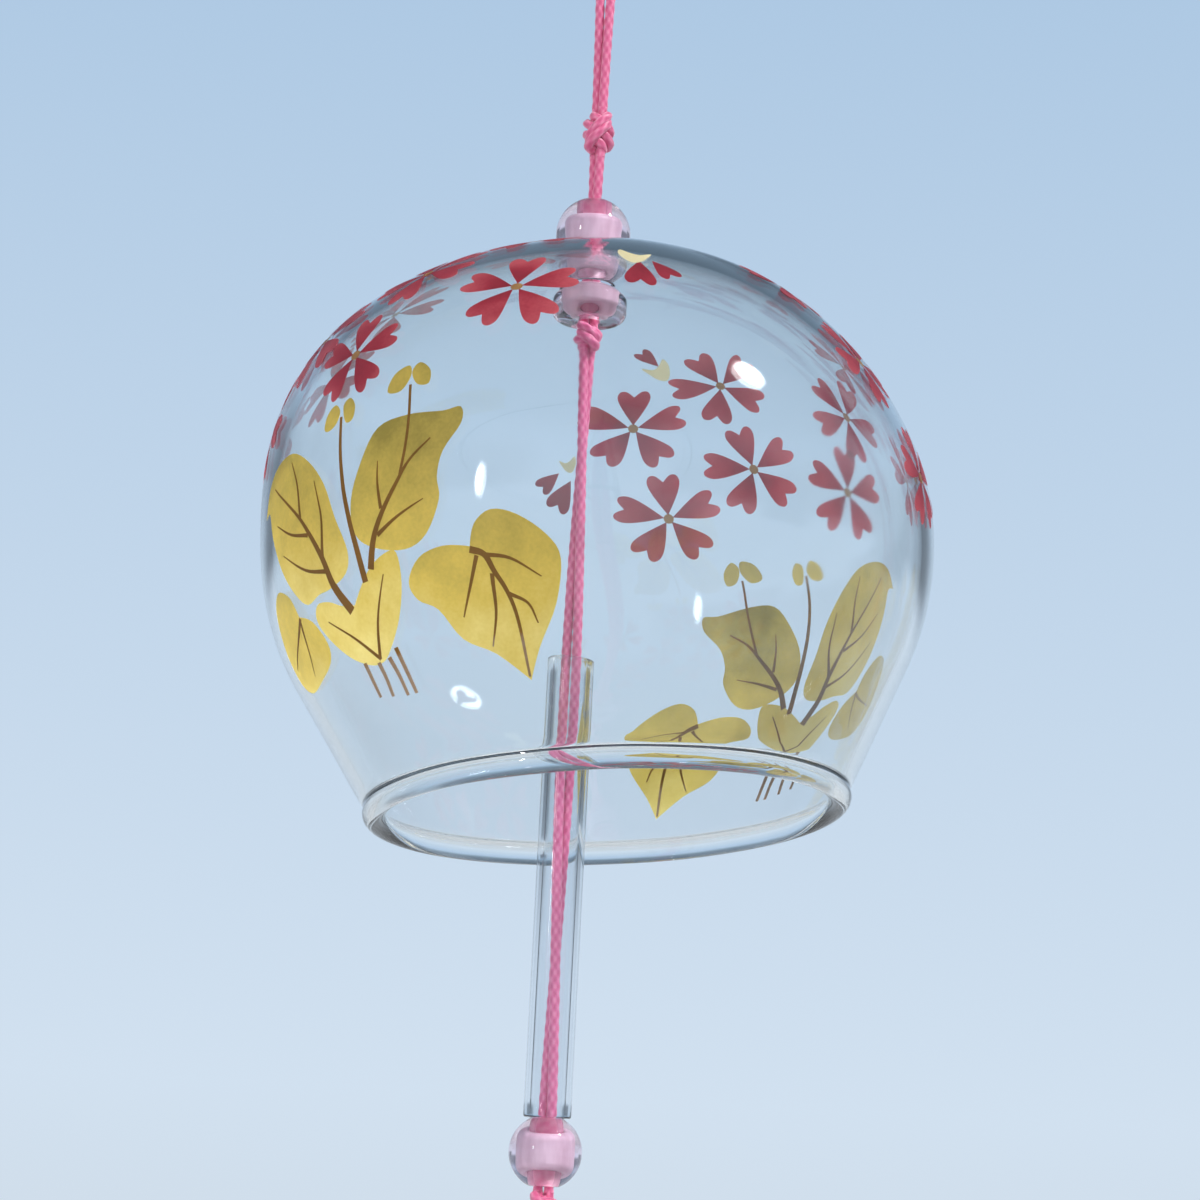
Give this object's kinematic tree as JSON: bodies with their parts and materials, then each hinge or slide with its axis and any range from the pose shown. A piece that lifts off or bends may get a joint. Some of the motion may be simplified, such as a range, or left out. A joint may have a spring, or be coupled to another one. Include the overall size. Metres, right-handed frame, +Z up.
{
  "type": "furin wind bell",
  "caption": "Hanging wind bell of blown clear glass on a doubled cord, with clear beads, a glass tube clapper inside and a paper strip that catches the wind.",
  "frame": {"origin": "inside top of the hanging loop, where the hook carries it", "axes": "+Z up along the hanging cord, +X to the right in the picture, +Y away from the viewer"},
  "size_m": [0.075, 0.0749, 0.278],
  "materials": {
    "glass": "clear blown",
    "tube_glass": "clear drawn",
    "bead_clear": "clear acrylic",
    "bead_white": "gloss white",
    "cord": "braided",
    "paper": "matt card"
  },
  "bodies": {
    "hanger": {"hanging_loop": "cord", "loop_knot": "cord"},
    "stem": {"stem_cord": "cord"},
    "line": {"neck_cord": "cord", "top_bead_shell": "bead_clear", "top_bead_core": "bead_white"},
    "inner_bead": {"inner_bead_shell": "bead_clear", "inner_bead_core": "bead_white"},
    "bell": {"glass_bell": "glass"},
    "stop": {"stop_knot": "cord"},
    "clapper": {"clapper_cord": "cord", "bottom_bead_shell": "bead_clear", "bottom_bead_core": "bead_white"},
    "tube": {"clapper_tube": "tube_glass"},
    "strip_knot": {"bottom_knot": "cord"},
    "strip_bight": {"strip_loop": "cord"},
    "strip": {"paper_strip": "paper"}
  },
  "joints": [
    {"name": "sway_fore_aft", "type": "hinge", "parent": "hanger", "child": "stem", "pos_m": [0, 0, -0.0397], "axis": [1, 0, 0], "range_deg": [-20, 20]},
    {"name": "sway_sideways", "type": "hinge", "parent": "stem", "child": "line", "pos_m": [0, 0, -0.0441], "axis": [0, 1, 0], "range_deg": [-20, 20]},
    {"name": "bell_turn", "type": "hinge", "parent": "line", "child": "inner_bead", "pos_m": [0, 0, -0.05923], "axis": [0, 0, 1], "continuous": true},
    {"name": "bell_rock", "type": "hinge", "parent": "inner_bead", "child": "bell", "pos_m": [0, 0, -0.05923], "axis": [-0.6691, -0.7431, 0], "range_deg": [-14.5, 1.5]},
    {"name": "clapper_turn", "type": "hinge", "parent": "line", "child": "stop", "pos_m": [0, 0, -0.06308], "axis": [0, 0, 1], "continuous": true},
    {"name": "clapper_swing", "type": "hinge", "parent": "stop", "child": "clapper", "pos_m": [0, 0, -0.06308], "axis": [0, 1, 0], "range_deg": [-12.5, 12.5]},
    {"name": "tube_slide", "type": "slide", "parent": "clapper", "child": "tube", "axis": [0, 0, 1], "range_m": [0, 0.033]},
    {"name": "strip_turn", "type": "hinge", "parent": "clapper", "child": "strip_knot", "pos_m": [0, 0, -0.16195], "axis": [0, 0, 1], "continuous": true},
    {"name": "strip_swing", "type": "hinge", "parent": "strip_knot", "child": "strip_bight", "pos_m": [0, 0, -0.16195], "axis": [1, 0, 0], "range_deg": [-60, 60]},
    {"name": "strip_tilt", "type": "hinge", "parent": "strip_bight", "child": "strip", "pos_m": [0, 0, -0.17311], "axis": [0, 1, 0], "range_deg": [-35, 35]}
  ]
}
